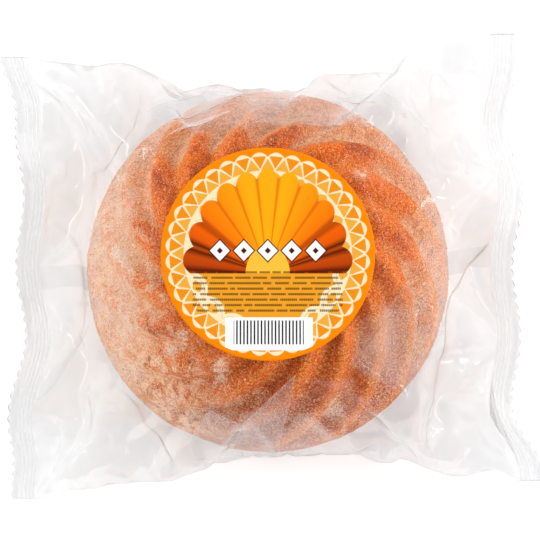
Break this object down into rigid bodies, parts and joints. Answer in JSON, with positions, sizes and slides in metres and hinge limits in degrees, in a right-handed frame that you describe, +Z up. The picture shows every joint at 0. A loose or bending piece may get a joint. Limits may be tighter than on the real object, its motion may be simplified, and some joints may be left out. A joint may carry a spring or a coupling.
{
  "type": "babka ring cake in a clear flow-wrap bag",
  "caption": "Fluted ring cake sealed in a clear film bag with crimped zigzag ends and a round paper label on top.",
  "frame": {"origin": "on the surface the cake rests on, below the middle of the ring", "axes": "+Z up through the ring's hole, +X along the film tube towards one end seal, +Y towards the top of the label"},
  "size_m": [0.2332, 0.1993, 0.0768],
  "materials": {
    "clear_film": "thin clear plastic film, glossy and slightly hazy, with creases and crimped end seals",
    "cake_crust": "rough baked crust, orange-brown on the ridges and darker in the furrows, dusted with sugar",
    "sugar": "white grains and loose clumps",
    "label_paper": "orange coated paper printed with a cream lace ring and plain fields of colour"
  },
  "bodies": {
    "root": {"bag": "clear_film", "label": "label_paper"}
  },
  "joints": []
}
